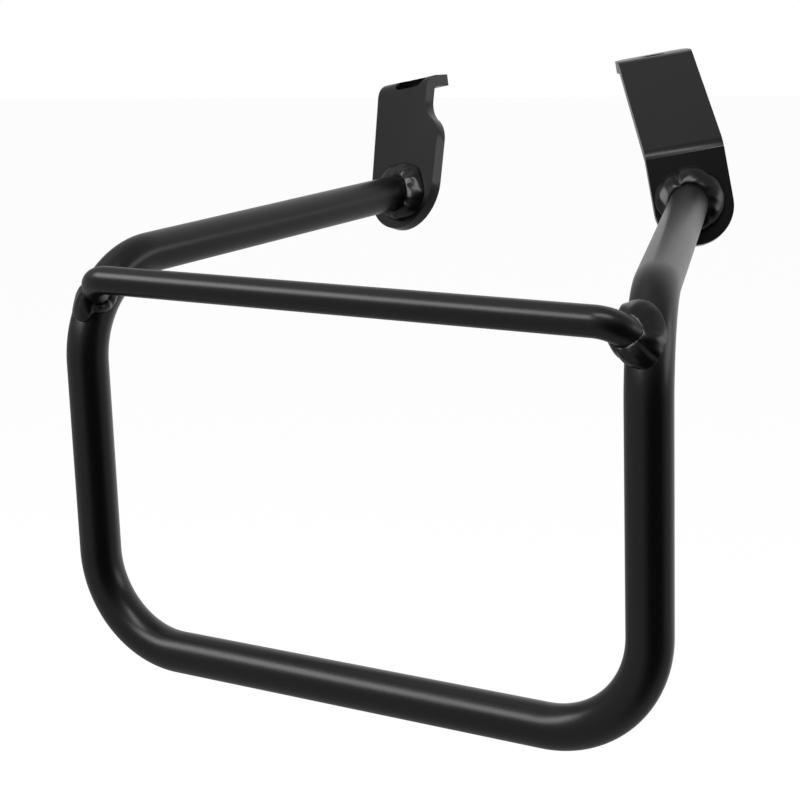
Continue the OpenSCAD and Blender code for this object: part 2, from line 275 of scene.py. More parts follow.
@dataclass(frozen=True)
class RackSpec:
    """Every size the drawn pieces need.

    Attributes:
        rail_length: Bottom rail from corner to corner.
        tube_radius: Radius of the loop's tube.
        left: The loop's left side.
        right: The loop's right side.
        bar: The crossbar.
        left_plate: The left bracket plate.
        right_plate: The right bracket plate.
    """

    rail_length: float = 260.4
    tube_radius: float = 9.0
    left: SideSpec = SideSpec(
        side=-1, corner_radius=41.5, corner_turn=90.0, leg_length=166.8,
        shoulder_radius=43.2, shoulder_turn=87.04, arm_length=231.7, arm_toe=6.33,
    )
    right: SideSpec = SideSpec(
        side=1, corner_radius=42.7, corner_turn=90.6, leg_length=165.6,
        shoulder_radius=39.2, shoulder_turn=85.55, arm_length=207.0, arm_toe=16.49,
    )
    bar: BarSpec = BarSpec()
    left_plate: PlateSpec = PlateSpec(turn=-19.0, lean=17.9, roll=9.0)
    right_plate: PlateSpec = PlateSpec(turn=25.6, lean=14.5, roll=9.2)

    @property
    def half_rail(self) -> float:
        """Half the bottom rail's length from corner to corner."""
        return self.rail_length / 2

    def shoulder_corner(self, side: SideSpec) -> np.ndarray:
        """Where the centre lines of a leg and its arm cross.

        Args:
            side: The side's sizes.

        Returns:
            The corner in the row's frame.
        """
        return side.shoulder_start(self.half_rail).at(0, 0, side.shoulder_tangent)

    def bar_frame(self, side: int) -> Placement:
        """Frame in the middle of the crossbar.

        Args:
            side: 1 for the right end and -1 for the left.

        Returns:
            A frame with z towards that end and y the way the end is bent.
        """
        left, right = self.shoulder_corner(self.left), self.shoulder_corner(self.right)
        bar = self.bar
        x, _, z = (left + right) / 2
        middle = np.array([x + bar.side_shift, -bar.forward, z - bar.drop])
        slope = bar.fall + math.degrees(math.atan2(left[2] - right[2], right[0] - left[0]))
        tilted = Placement(middle).turned("Y", slope).turned("X", -bar.end_tilt)
        return tilted.turned("Y", 90 * side)

    @property
    def bar_half(self) -> float:
        """Half the length of the crossbar's straight."""
        left, right = self.shoulder_corner(self.left), self.shoulder_corner(self.right)
        return float(np.linalg.norm(right - left)) / 2 - self.bar.end_setback

    def stub(self, side: int, back: float = 0.0) -> Placement:
        """Frame on the crossbar near where its bent end turns straight again.

        Args:
            side: 1 for the right end and -1 for the left.
            back: Distance before the straight, on the bend; below zero, on the straight.

        Returns:
            A frame with z along the bar, into the loop's tube.
        """
        end = self.bar_frame(side).moved(0, 0, self.bar_half)
        turn = self.bar.bend_angle - math.degrees(max(back, 0.0) / self.bar.bend_radius)
        return end.past_bend(self.bar.bend_radius, turn).moved(0, 0, max(-back, 0.0))


# --------------------------------------------------------------------- meshes


def ring_mesh(name: str, rings: Sequence[np.ndarray], caps: bool) -> bpy.types.Object:
    """Build a smooth mesh from closed rings of points in millimetres.

    Args:
        name: Name of the piece.
        rings: Rings with equally many points each.
        caps: Whether the first and last rings get a flat lid.

    Returns:
        The new object, linked to the scene.
    """
    count = len(rings[0])
    points = np.concatenate(rings) * MM
    faces = [
        (at + c, at + (c + 1) % count, at + count + (c + 1) % count, at + count + c)
        for at in range(0, (len(rings) - 1) * count, count)
        for c in range(count)
    ]
    if caps:
        faces.append(tuple(reversed(range(count))))
        faces.append(tuple(range(len(points) - count, len(points))))
    mesh = bpy.data.meshes.new(name)
    mesh.from_pydata(points.tolist(), [], faces)
    mesh.validate()
    mesh.polygons.foreach_set("use_smooth", [True] * len(mesh.polygons))
    piece = bpy.data.objects.new(name, mesh)
    bpy.context.scene.collection.objects.link(piece)
    return piece


class RoundWalk:
    """Rings of points along a round bar as it is walked from frame to frame."""

    def __init__(self, start: Placement, radius: float, sides: int, mirrored: bool) -> None:
        """Begin at a frame.

        Args:
            start: Frame at the first ring.
            radius: Radius of the bar.
            sides: Points in each ring.
            mirrored: Whether the ring's points are laid the other way round.
        """
        self.place = start
        self.radius = radius
        self.sides = sides
        self.sign = -1.0 if mirrored else 1.0
        self.spin = math.pi if mirrored else 0.0
        self.rings: list[np.ndarray] = []

    def ring(self) -> None:
        """Add a ring at the present frame."""
        share = np.linspace(0, 2 * math.pi, self.sides, endpoint=False)
        angle = self.spin + self.sign * share
        local = np.stack([np.cos(angle), np.sin(angle), np.zeros_like(angle)], 1) * self.radius
        self.rings.append(self.place.origin + local @ self.place.axes.T)

    def twist(self, degrees: float) -> None:
        """Turn about the bar's own axis and keep the rings lined up.

        Args:
            degrees: Angle by the right-hand rule.
        """
        self.place = self.place.turned("Z", degrees)
        self.spin -= math.radians(degrees)

    def straight(self, length: float, rings: int = 6) -> None:
        """Walk along the axis.

        Args:
            length: Distance in millimetres.
            rings: Rings to add on the way.
        """
        for _ in range(rings):
            self.place = self.place.moved(0, 0, length / rings)
            self.ring()

    def bend(self, radius: float, degrees: float, rings: int = 40) -> None:
        """Walk round a bend.

        Args:
            radius: Centre line radius.
            degrees: Angle of the bend.
            rings: Rings to add on the way.
        """
        for _ in range(rings):
            self.place = self.place.past_bend(radius, degrees / rings)
            self.ring()

    def cut_by(self, plane: Placement) -> None:
        """Slide the last ring's points along the axis onto a plane.

        Args:
            plane: Frame whose y axis is the plane's normal.
        """
        along = self.place.axes[:, 2]
        normal = plane.axes[:, 1]
        last = self.rings[-1]
        away = (plane.origin - last) @ normal / (along @ normal)
        self.rings[-1] = last + away[:, None] * along


# ---------------------------------------------------------------------- welds


class TubeSurface:
    """The outer surface of the loop's tube near one shoulder."""

    REACH = 60.0
    STRAIGHT_POINTS = 121
    BEND_POINTS = 241
    CREEP_STEPS = 24

    def __init__(self, spec: RackSpec, side: SideSpec) -> None:
        """Lay the centre line out as points.

        Args:
            spec: The rack's sizes.
            side: The side the shoulder is on.
        """
        self.radius = spec.tube_radius
        top = side.shoulder_start(spec.half_rail)
        steps = np.linspace(0, self.REACH, self.STRAIGHT_POINTS)[1:]
        leg = [top.at(0, 0, -step) for step in steps[::-1]]
        bend = [
            top.past_bend(side.shoulder_radius, side.shoulder_turn * share).origin
            for share in np.linspace(0, 1, self.BEND_POINTS)
        ]
        after = top.past_bend(side.shoulder_radius, side.shoulder_turn)
        arm = [after.at(0, 0, step) for step in steps]
        self.line = np.array(leg + bend + arm)

    def nearest(self, points: np.ndarray) -> np.ndarray:
        """Closest centre line points.

        Args:
            points: Points as rows.

        Returns:
            One centre line point for each row.
        """
        start, run = self.line[:-1], np.diff(self.line, axis=0)
        gap = points[:, None, :] - start[None]
        share = np.clip((gap * run).sum(-1) / (run * run).sum(-1), 0, 1)
        foot = start[None] + share[..., None] * run
        best = np.linalg.norm(points[:, None, :] - foot, axis=-1).argmin(1)
        return foot[np.arange(len(points)), best]

    def depth(self, points: np.ndarray) -> np.ndarray:
        """Height of points above the surface.

        Args:
            points: Points as rows.

        Returns:
            The height of each, below zero inside the tube.
        """
        return np.linalg.norm(points - self.nearest(points), axis=1) - self.radius

    def creep(self, points: np.ndarray, way: np.ndarray, reach: np.ndarray) -> np.ndarray:
        """Walk over the surface from points on it.

        Args:
            points: Points as rows.
            way: Direction to set off in, for each.
            reach: Distance to walk, for each.

        Returns:
            Where each walk ends.
        """
        stride = (reach / self.CREEP_STEPS)[:, None]
        for _ in range(self.CREEP_STEPS):
            out = unit(points - self.nearest(points))
            way = unit(way - (way * out).sum(1, keepdims=True) * out)
            points = self.drop(points + stride * way)
        return points

    def drop(self, points: np.ndarray) -> np.ndarray:
        """Move points straight onto the surface.

        Args:
            points: Points as rows.

        Returns:
            The points on the surface.
        """
        foot = self.nearest(points)
        return foot + self.radius * unit(points - foot)


AngleTable = tuple[tuple[float, float], ...]


@dataclass(frozen=True)
class BeadLook:
    """The hand-laid look of one weld bead, by angle round its joint.

    Attributes:
        spreads: Angle in degrees and distance from the joint line to the toe there.
        legs: Angle in degrees and length of the bead along the tube or bar there.
        crown: How far the bead's face bulges.
        dabs: Angles in degrees where one dab of weld ends on the next.
        dab_step: Depth of the crease between two dabs.
        lumpiness: Height of the small unevenness.
        seed: Picks the unevenness.
    """

    spreads: AngleTable
    legs: AngleTable
    crown: float
    dabs: tuple[float, ...]
    dab_step: float
    lumpiness: float
    seed: int


class Bead:
    """A weld bead laid round a joint, from one toe line to another.

    Attributes:
        STEPS: Points round the bead.
        ACROSS: Points from toe to toe.
        SMOOTH: Steps to either side that a table's value is blended over.
        CREASE: Half the width of the crease between two dabs.
        WAVES: Waves that the small lumps are the sum of.
        ROUND_WAVES: Fewest waves round the bead, and the number they stay under.
        ACROSS_WAVES: Most waves from toe to toe.
        WAVE_LEVEL: What the sum of the waves is divided by.
        FULLNESS: Power that fills the arch out, below one.
        SINK: How far the toes are sunk into the metal.
        SINK_FADE: How soon the bead rises out of it.
    """

    STEPS = 360
    ACROSS = 30
    SMOOTH = 7
    CREASE = math.radians(7)
    WAVES = 14
    ROUND_WAVES = (2, 15)
    ACROSS_WAVES = 1.6
    WAVE_LEVEL = 4
    FULLNESS = 0.7
    SINK = 0.3
    SINK_FADE = 8

    def __init__(self, look: BeadLook) -> None:
        """Set the angles round the joint.

        Args:
            look: The bead's look.
        """
        self.look = look
        self.angle = np.linspace(0, 2 * math.pi, self.STEPS, endpoint=False)

    def around(self, table: AngleTable) -> np.ndarray:
        """Spread a few values smoothly over all the angles.

        Args:
            table: Angles in degrees and the value at each.

        Returns:
            The value at each angle.
        """
        at, value = np.array(table).T
        raw = np.interp(np.degrees(self.angle), at, value, period=360)
        window = np.hanning(2 * self.SMOOTH + 1)
        return np.convolve(np.pad(raw, self.SMOOTH, mode="wrap"), window / window.sum(), "valid")

    def uneven(self) -> np.ndarray:
        """Small lumps over the face, as rows across and columns round.

        Returns:
            Height between about -1 and 1.
        """
        random = np.random.RandomState(self.look.seed)
        t = np.linspace(0, 1, self.ACROSS)[:, None]
        total = np.zeros((self.ACROSS, self.STEPS))
        for _ in range(self.WAVES):
            round_waves = random.randint(*self.ROUND_WAVES)
            across_waves = random.uniform(0, self.ACROSS_WAVES)
            start = random.uniform(0, 2 * math.pi)
            across = 2 * math.pi * across_waves * t
            total += np.cos(round_waves * self.angle[None] + across + start)
        return total / self.WAVE_LEVEL

    def build(
        self, name: str, corner: np.ndarray, toe_a: np.ndarray, toe_b: np.ndarray
    ) -> bpy.types.Object:
        """Make the bead's mesh.

        Args:
            name: Name of the piece.
            corner: The joint line's point at each angle.
            toe_a: The first toe's point at each angle.
            toe_b: The second toe's point at each angle.

        Returns:
            The bead.
        """
        look = self.look
        out = unit((toe_a + toe_b) / 2 - corner)
        lumps = look.lumpiness * self.uneven()
        crease = np.zeros(self.STEPS)
        for at in look.dabs:
            away = np.abs(np.angle(np.exp(1j * (self.angle - math.radians(at)))))
            crease = np.maximum(crease, np.exp(-((away / self.CREASE) ** 2)))
        rings = []
        for t, lump in zip(np.linspace(0, 1, self.ACROSS), lumps):
            arch = math.sin(math.pi * t) ** self.FULLNESS
            height = arch * (look.crown + lump - look.dab_step * crease)
            sink = self.SINK * (1 - min(1.0, self.SINK_FADE * arch))
            rings.append((1 - t) * toe_a + t * toe_b + (height - sink)[:, None] * out)
        return ring_mesh(name, rings, caps=False)


class PlateBead(Bead):
    """The bead where an arm meets a bracket plate."""

    def draw(
        self, name: str, arm: Placement, plate: Placement, radius: float
    ) -> bpy.types.Object:
        """Lay the bead.

        Args:
            name: Name of the piece.
            arm: Frame at the arm's end, z along the arm.
            plate: Frame of the plate's front face.
            radius: Radius of the arm's tube.

        Returns:
            The bead.
        """
        x, y, z = plate.axes.T
        run = arm.axes[:, 2]
        spread = np.cos(self.angle)[:, None] * x + np.sin(self.angle)[:, None] * z
        side = unit(spread - (spread @ run)[:, None] * run)
        rim = plate.origin + radius * side
        corner = rim - ((rim - plate.origin) @ y / (run @ y))[:, None] * run
        toe_b = plate.origin + (radius + self.around(self.look.spreads))[:, None] * spread
        toe_a = corner - self.around(self.look.legs)[:, None] * run
        return self.build(name, corner, toe_a, toe_b)


class BarBead(Bead):
    """The bead where a crossbar end meets the loop's tube.

    Attributes:
        SEARCH: Where along the bar's end the tube's surface is looked for.
        HALVINGS: Times that stretch is halved.
    """

    SEARCH = (-4.0, 24.0)
    HALVINGS = 30

    def draw(
        self, name: str, spec: RackSpec, side: int, surface: TubeSurface
    ) -> bpy.types.Object:
        """Lay the bead.

        Args:
            name: Name of the piece.
            spec: The rack's sizes.
            side: 1 for the right end and -1 for the left.
            surface: The tube's surface.

        Returns:
            The bead.
        """
        stub, radius = spec.stub(side), spec.bar.radius
        x, y, z = stub.axes.T
        away = np.cos(self.angle)[:, None] * x + np.sin(self.angle)[:, None] * y
        start = stub.origin + radius * away
        low, high = (np.full(self.STEPS, end) for end in self.SEARCH)
        for _ in range(self.HALVINGS):
            mid = (low + high) / 2
            outside = surface.depth(start + mid[:, None] * z) > 0
            low, high = np.where(outside, mid, low), np.where(outside, high, mid)
        along = (low + high) / 2
        corner = start + along[:, None] * z
        backs = self.around(self.look.legs) - along
        toe_a = np.array([
            spec.stub(side, back).at(radius * math.cos(turn), radius * math.sin(turn), 0)
            for turn, back in zip(self.angle, backs)
        ])
        toe_b = surface.creep(corner, away, self.around(self.look.spreads))
        return self.build(name, corner, toe_a, toe_b)


# ------------------------------------------------------------------ materials


@dataclass(frozen=True)
class PowderCoat:
    """A semi-gloss powder coat.

    Attributes:
        name: Name of the material.
        colour: Linear base colour.
        roughness: Mean roughness.
        peel: Height of the orange peel in millimetres.
        peel_scale: Cells of orange peel per metre.
        unevenness: How far the roughness strays over the surface.
        ior: Index of refraction.
    """

    name: str
    colour: tuple[float, float, float]
    roughness: float
    peel: float
    peel_scale: float
    unevenness: float = 0.06
    ior: float = 1.5


class NodeTree:
    """Small helper that adds and links shader nodes."""

    def __init__(self, tree: bpy.types.NodeTree) -> None:
        """Wrap a node tree.

        Args:
            tree: The tree to add to.
        """
        self.tree = tree

    def add(self, kind: str, **values: object) -> bpy.types.Node:
        """Add a node and set its properties.

        Args:
            kind: The node's type name.
            values: Properties to set on the node.

        Returns:
            The node.
        """
        node = self.tree.nodes.new(kind)
        for key, value in values.items():
            setattr(node, key, value)
        return node

    def link(self, source: bpy.types.NodeSocket, target: bpy.types.NodeSocket) -> None:
        """Join two sockets.

        Args:
            source: Output socket.
            target: Input socket.
        """
        self.tree.links.new(source, target)

    def white(self, kind: str, strength: float) -> bpy.types.Node:
        """Add a white light shader.

        Args:
            kind: Type name of an emission or background node.
            strength: Its strength.

        Returns:
            The node.
        """
        node = self.add(kind)
        node.inputs["Color"].default_value = (1.0, 1.0, 1.0, 1.0)
        node.inputs["Strength"].default_value = strength
        return node

    def mixed(
        self,
        share: bpy.types.NodeSocket,
        below: bpy.types.Node,
        above: bpy.types.Node,
    ) -> bpy.types.Node:
        """Mix two shaders.

        Args:
            share: Share of the second, from 0 to 1.
            below: The first shader.
            above: The second shader.

        Returns:
            The mix.
        """
        mix = self.add("ShaderNodeMixShader")
        self.link(share, mix.inputs[0])
        self.link(below.outputs[0], mix.inputs[1])
        self.link(above.outputs[0], mix.inputs[2])
        return mix


FINE_DETAIL, FINE_ROUGHNESS = 1.0, 0.4
BROAD_SCALE, BROAD_DETAIL = 34.0, 2.0


def orange_peel_group() -> bpy.types.NodeTree:
    """Make the node group for the fine texture of powder coat.

    Returns:
        A group with Scale, Roughness and Unevenness in, Height and Roughness out.
    """
    group = bpy.data.node_groups.new("OrangePeel", "ShaderNodeTree")
    for way, names in (
        ("INPUT", ("Scale", "Roughness", "Unevenness")),
        ("OUTPUT", ("Height", "Roughness")),
    ):
        for name in names:
            group.interface.new_socket(name, in_out=way, socket_type="NodeSocketFloat")
    nodes = NodeTree(group)
    entry = nodes.add("NodeGroupInput")
    leave = nodes.add("NodeGroupOutput")
    place = nodes.add("ShaderNodeTexCoord")
    fine = nodes.add("ShaderNodeTexNoise")
    fine.inputs["Detail"].default_value = FINE_DETAIL
    fine.inputs["Roughness"].default_value = FINE_ROUGHNESS
    broad = nodes.add("ShaderNodeTexNoise")
    broad.inputs["Scale"].default_value = BROAD_SCALE
    broad.inputs["Detail"].default_value = BROAD_DETAIL
    nodes.link(place.outputs["Object"], fine.inputs["Vector"])
    nodes.link(place.outputs["Object"], broad.inputs["Vector"])
    nodes.link(entry.outputs["Scale"], fine.inputs["Scale"])
    nodes.link(fine.outputs["Fac"], leave.inputs["Height"])
    centred = nodes.add("ShaderNodeMath", operation="SUBTRACT")
    centred.inputs[1].default_value = 0.5
    nodes.link(broad.outputs["Fac"], centred.inputs[0])
    share = nodes.add("ShaderNodeMath", operation="MULTIPLY_ADD")
    nodes.link(centred.outputs[0], share.inputs[0])
    nodes.link(entry.outputs["Unevenness"], share.inputs[1])
    nodes.link(entry.outputs["Roughness"], share.inputs[2])
    nodes.link(share.outputs[0], leave.inputs["Roughness"])
    return group


def powder_coat(look: PowderCoat, group: bpy.types.NodeTree) -> bpy.types.Material:
    """Make a powder coat material.

    Args:
        look: The coat's look.
        group: The orange peel group.

    Returns:
        The material.
    """
    material = bpy.data.materials.new(look.name)
    material.use_nodes = True
    nodes = NodeTree(material.node_tree)
    shader = material.node_tree.nodes["Principled BSDF"]
    shader.inputs["Base Color"].default_value = (*look.colour, 1.0)
    shader.inputs["IOR"].default_value = look.ior
    peel = nodes.add("ShaderNodeGroup", node_tree=group)
    peel.inputs["Scale"].default_value = look.peel_scale
    peel.inputs["Roughness"].default_value = look.roughness
    peel.inputs["Unevenness"].default_value = look.unevenness
    bump = nodes.add("ShaderNodeBump")
    bump.inputs["Distance"].default_value = look.peel * MM
    nodes.link(peel.outputs["Height"], bump.inputs["Height"])
    nodes.link(bump.outputs["Normal"], shader.inputs["Normal"])
    nodes.link(peel.outputs["Roughness"], shader.inputs["Roughness"])
    return material


# --------------------------------------------------------------------- pieces


class LoopTube:
    """The bent tube with its two arms.

    Attributes:
        SIDES: Points round the tube.
        LAST: Length of the arm's last stretch, whose end the plate cuts.
        ARM_RINGS: Rings along the rest of the arm's straight.
    """

    SIDES = 96
    LAST = 12
    ARM_RINGS = 8

    def __init__(self, spec: RackSpec) -> None:
        """Keep the sizes.

        Args:
            spec: The rack's sizes.
        """
        self.spec = spec

    def walk_side(self, side: SideSpec, plate: Placement) -> RoundWalk:
        """Walk from the bottom rail to a plate.

        Args:
            side: The side's sizes.
            plate: Frame of that side's plate.

        Returns:
            The walk with all its rings.
        """
        start = side.rail_end(self.spec.half_rail)
        walk = RoundWalk(start, self.spec.tube_radius, self.SIDES, mirrored=side.side < 0)
        walk.ring()
        walk.bend(side.corner_radius, side.corner_turn)
        walk.straight(side.leg_length - side.corner_tangent - side.shoulder_tangent)
        walk.twist(side.side * (side.arm_toe - 90))
        walk.bend(side.shoulder_radius, side.shoulder_turn)
        walk.straight(side.arm_length - side.shoulder_tangent - self.LAST, self.ARM_RINGS)
        walk.straight(self.LAST, rings=1)
        walk.cut_by(plate)
        return walk

    def draw(self, left_plate: Placement, right_plate: Placement) -> bpy.types.Object:
        """Make the tube.

        Args:
            left_plate: Frame of the left plate.
            right_plate: Frame of the right plate.

        Returns:
            The tube.
        """
        left = self.walk_side(self.spec.left, left_plate).rings
        right = self.walk_side(self.spec.right, right_plate).rings
        return ring_mesh("loop_tube", left[::-1] + right, caps=True)


class Crossbar:
    """The solid bar across the shoulders.

    Attributes:
        SIDES: Points round the bar.
        INTO_TUBE: How far its ends run into the tube.
        LONGEST: Longest straight that a bent end can have.
        TRIALS: Points along it that are tried for the tube's surface.
        HALF_RINGS: Rings along half its straight.
        BEND_RINGS: Rings round an end bend.
        STUB_RINGS: Rings along the straight past the bend.
    """

    SIDES = 72
    INTO_TUBE = 1.5
    LONGEST = 22
    TRIALS = 221
    HALF_RINGS = 4
    BEND_RINGS = 28
    STUB_RINGS = 2

    def __init__(self, spec: RackSpec) -> None:
        """Keep the sizes.

        Args:
            spec: The rack's sizes.
        """
        self.spec = spec

    def walk_side(self, side: int, reach: float) -> RoundWalk:
        """Walk from the bar's middle to one end.

        Args:
            side: 1 for the right end and -1 for the left.
            reach: Length of the stub.

        Returns:
            The walk with all its rings.
        """
        bar = self.spec.bar
        start = self.spec.bar_frame(side)
        walk = RoundWalk(start, bar.radius, self.SIDES, mirrored=side < 0)
        walk.ring()
        walk.straight(self.spec.bar_half, self.HALF_RINGS)
        walk.bend(bar.bend_radius, bar.bend_angle, self.BEND_RINGS)
        walk.straight(reach, self.STUB_RINGS)
        return walk

    def draw(self, surfaces: dict[int, TubeSurface]) -> bpy.types.Object:
        """Make the bar.

        Args:
            surfaces: The tube's surface on each side.

        Returns:
            The bar.
        """
        rings = {}
        for side, surface in surfaces.items():
            stub = self.spec.stub(side)
            steps = np.linspace(0, self.LONGEST, self.TRIALS)
            along = stub.origin + steps[:, None] * stub.axes[:, 2]
            hit = steps[int((surface.depth(along) > 0).sum())]
            rings[side] = self.walk_side(side, hit + self.INTO_TUBE).rings
        return ring_mesh("cross_bar", rings[-1][::-1] + rings[1][1:], caps=True)


EDGE_RADIUS = 0.7
EDGE_SEGMENTS = 4
EDGE_ANGLE = math.radians(40)
FLAT_ANGLE = math.radians(0.5)
JOIN_GAP = 0.01


def soften(plate: bpy.types.Object) -> None:
    """Join a plate's flat faces up and round its edges.

    Args:
        plate: The plate's CAD node.
    """
    join = plate.modifiers.new("join", "WELD")
    join.merge_threshold = JOIN_GAP * MM
    flat = plate.modifiers.new("flat", "DECIMATE")
    flat.decimate_type = "DISSOLVE"
    flat.angle_limit = FLAT_ANGLE
    edge = plate.modifiers.new("edge", "BEVEL")
    edge.width = EDGE_RADIUS * MM
    edge.segments = EDGE_SEGMENTS
    edge.limit_method = "ANGLE"
    edge.angle_limit = EDGE_ANGLE
    edge.harden_normals = True
    edge.use_clamp_overlap = True


# ------------------------------------------------------------------- the rack


LOOP_COAT = PowderCoat(
    name="black_powder_coat", colour=(0.0035, 0.0035, 0.0037), roughness=0.3,
    peel=0.012, peel_scale=1500.0,
)
WELD_COAT = PowderCoat(
    name="black_powder_coat_on_welds", colour=(0.0038, 0.0038, 0.004), roughness=0.25,
    peel=0.01, peel_scale=1200.0,
)

BEADS: dict[str, BeadLook] = {
    "left_bracket_weld": BeadLook(
        spreads=(
            (7, 7.6), (27, 7.0), (45, 7.6), (69, 6.3), (94, 6.8), (111, 7.6), (127, 9.8),
            (142, 10.9), (156, 12.0), (190, 8.0), (240, 6.5), (285, 7.0), (313, 9.6),
            (339, 9.2), (352, 9.4),
        ),
        legs=((0, 7.0),),
        crown=1.6, dabs=(110.0, 330.0, 230.0), dab_step=0.9, lumpiness=0.22, seed=3,
    ),
    "right_bracket_weld": BeadLook(
        spreads=(
            (8, 7.5), (27, 7.7), (46, 7.5), (64, 7.8), (80, 7.8), (93, 7.4), (107, 6.3),
            (119, 7.1), (136, 7.6), (164, 7.5), (200, 6.0), (250, 6.0), (290, 5.9),
            (301, 6.4), (320, 6.9), (335, 7.2), (352, 7.4),
        ),
        legs=((0, 7.0),),
        crown=1.7, dabs=(107.0, 250.0), dab_step=0.9, lumpiness=0.16, seed=8,
    ),
    "left_crossbar_weld": BeadLook(
        spreads=(
            (0, 3.0), (45, 4.0), (60, 5.0), (75, 3.4), (90, 3.0), (120, 2.6), (150, 2.4),
            (165, 2.8), (180, 7.0), (195, 8.0), (225, 8.2), (240, 8.5), (255, 7.5),
            (270, 5.5), (285, 5.0), (330, 3.0),
        ),
        legs=((0, 4.0), (90, 4.0), (150, 3.5), (200, 6.0), (240, 8.0), (285, 6.0)),
        crown=1.3, dabs=(166.0, 100.0, 285.0), dab_step=0.8, lumpiness=0.25, seed=5,
    ),
    "right_crossbar_weld": BeadLook(
        spreads=(
            (0, 5.0), (15, 4.2), (30, 3.5), (45, 4.0), (60, 6.0), (90, 7.0), (120, 6.0),
            (140, 9.0), (152, 11.5), (165, 10.0), (180, 9.2), (195, 8.8), (210, 8.0),
            (225, 7.0), (240, 6.2), (262, 5.6), (280, 5.0), (300, 6.0), (315, 7.0),
            (330, 7.0), (345, 6.0),
        ),
        legs=(
            (0, 5.0), (40, 7.0), (62, 10.0), (80, 13.5), (100, 12.0), (125, 8.0),
            (150, 7.5), (180, 6.5), (270, 5.5),
        ),
        crown=1.4, dabs=(134.0, 30.0, 300.0), dab_step=0.9, lumpiness=0.2, seed=6,
    ),
}


class SideCaseRack:
    """The whole rack as drawn pieces around the CAD frame."""

    def __init__(self, spec: RackSpec, nodes: dict[str, bpy.types.Object]) -> None:
        """Keep the sizes and the CAD nodes.

        Args:
            spec: The rack's sizes.
            nodes: The CAD node objects by name.
        """
        self.spec = spec
        self.nodes = nodes
        group = orange_peel_group()
        self.loop_coat = powder_coat(LOOP_COAT, group)
        self.weld_coat = powder_coat(WELD_COAT, group)

    def keep(self, piece: bpy.types.Object, coat: bpy.types.Material, node: str) -> None:
        """Coat a drawn piece and let it stand for its CAD node.

        Args:
            piece: The drawn piece.
            coat: Its material.
            node: The CAD node it stands for.
        """
        piece.data.materials.clear()
        piece.data.materials.append(coat)
        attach(piece, "root")
        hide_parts(node)

    def build(self) -> None:
        """Draw every piece."""
        spec = self.spec
        arms = {s.side: s.arm_end(spec.half_rail) for s in (spec.left, spec.right)}
        plates = {
            -1: spec.left_plate.placed_at(arms[-1].origin),
            1: spec.right_plate.placed_at(arms[1].origin),
        }
        surfaces = {s.side: TubeSurface(spec, s) for s in (spec.left, spec.right)}
        self.keep(LoopTube(spec).draw(plates[-1], plates[1]), self.loop_coat, "main_tube")
        self.keep(Crossbar(spec).draw(surfaces), self.loop_coat, "crossbar")
        for side, word in ((-1, "left"), (1, "right")):
            at_plate, at_bar = f"{word}_bracket_weld", f"{word}_crossbar_weld"
            bead = PlateBead(BEADS[at_plate]).draw(
                f"{word}_plate_bead", arms[side], plates[side], spec.tube_radius
            )
            self.keep(bead, self.weld_coat, at_plate)
            bead = BarBead(BEADS[at_bar]).draw(f"{word}_bar_bead", spec, side, surfaces[side])
            self.keep(bead, self.weld_coat, at_bar)
        for name in ("left_bracket", "right_bracket"):
            plate = self.nodes[name]
            plate.data.materials.clear()
            plate.data.materials.append(self.loop_coat)
            soften(plate)


# --------------------------------------------------------------------- studio


@dataclass(frozen=True)
class Softbox:
    """One area light.

    Attributes:
        name: Name of the light.
        at: Position in metres.
        size: Width and height in metres.
        watts: Power.
    """

    name: str
    at: tuple[float, float, float]
    size: tuple[float, float]
    watts: float


@dataclass(frozen=True)
class Patch:
    """A part of the surround that is brighter or darker than the rest.

    Attributes:
        way: Unit vector towards its middle.
        start: Cosine of the angle from the middle at which it begins.
        full: Cosine of the angle at which it is full.
        gain: Strength that it adds.
    """

    way: tuple[float, float, float]
    start: float
    full: float
    gain: float


